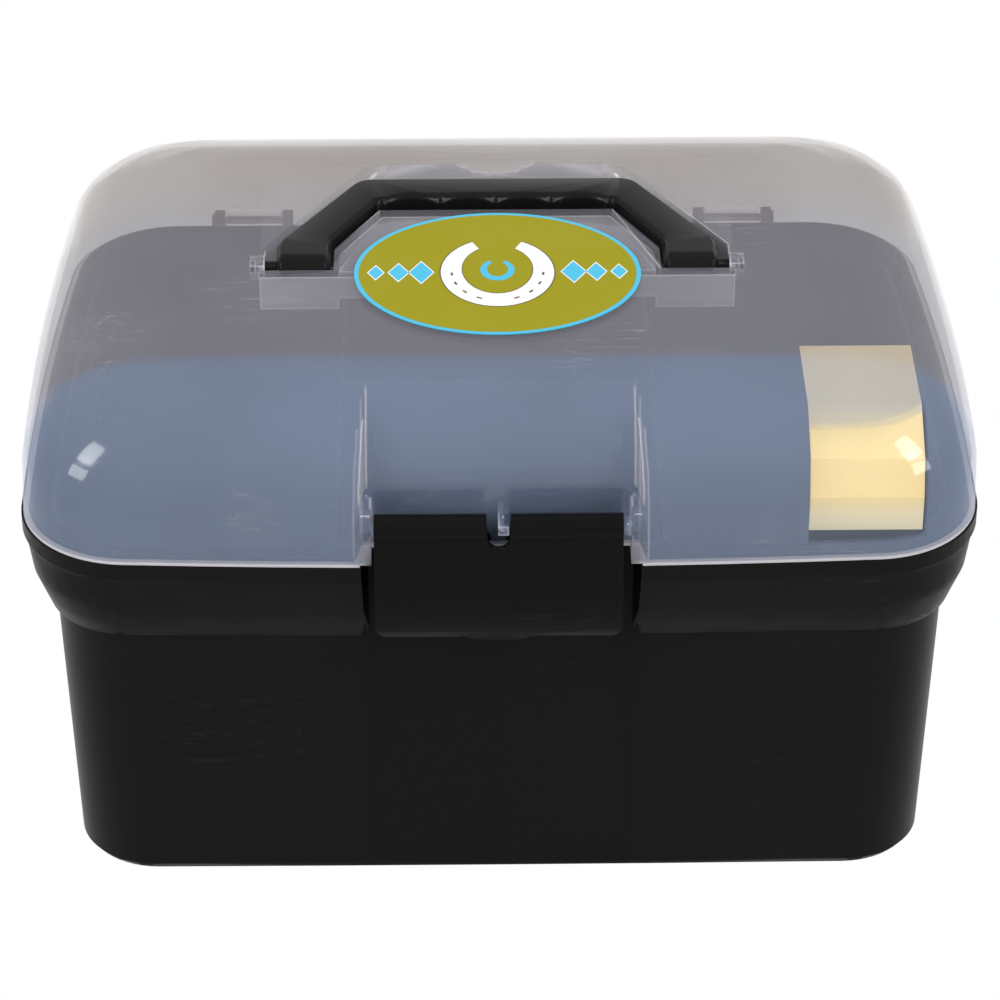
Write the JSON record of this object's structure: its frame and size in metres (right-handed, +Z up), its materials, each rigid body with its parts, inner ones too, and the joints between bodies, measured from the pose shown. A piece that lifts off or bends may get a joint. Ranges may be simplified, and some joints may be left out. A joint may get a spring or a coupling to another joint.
{
  "type": "horse grooming box",
  "caption": "Moulded grooming box with a domed see-through lid, sunk carry handle, wide front latch and lift-out tray.",
  "frame": {"origin": "middle of the flat underside, on the surface it stands on", "axes": "+Z up, front with the latch towards -Y, +X to the right seen from the front"},
  "size_m": [0.34, 0.2563, 0.2025],
  "materials": {
    "black_plastic": "gloss moulded polypropylene",
    "clear_plastic": "milky see-through moulded polypropylene",
    "handle_plastic": "gloss moulded",
    "latch_plastic": "gloss moulded",
    "pin_plastic": "moulded",
    "tray_plastic": "moulded",
    "label_print": "printed film",
    "card_paper": "printed card"
  },
  "bodies": {
    "tub": {"base_tub": "black_plastic", "hinge_pin_left": "pin_plastic", "hinge_pin_right": "pin_plastic"},
    "lid": {"lid": "clear_plastic", "oval_label": "label_print", "folded_card": "card_paper"},
    "handle": {"carry_handle": "handle_plastic"},
    "latch": {"front_latch": "latch_plastic"},
    "tray": {"lift_out_tray": "tray_plastic"}
  },
  "joints": [
    {"name": "lid_hinge", "type": "hinge", "parent": "tub", "child": "lid", "pos_m": [0, 0.1267, 0.1428], "axis": [-1, 0, 0], "range_deg": [0, 110]},
    {"name": "handle_fold", "type": "hinge", "parent": "lid", "child": "handle", "pos_m": [0, -0.0059, 0.1965], "axis": [1, 0, 0], "range_deg": [0, 90]},
    {"name": "latch_swing", "type": "hinge", "parent": "lid", "child": "latch", "pos_m": [0, -0.1165, 0.156], "axis": [-1, 0, 0], "range_deg": [0, 100]},
    {"name": "tray_lift", "type": "slide", "parent": "tub", "child": "tray", "axis": [0, 0, 1], "range_m": [0, 0.03]}
  ]
}
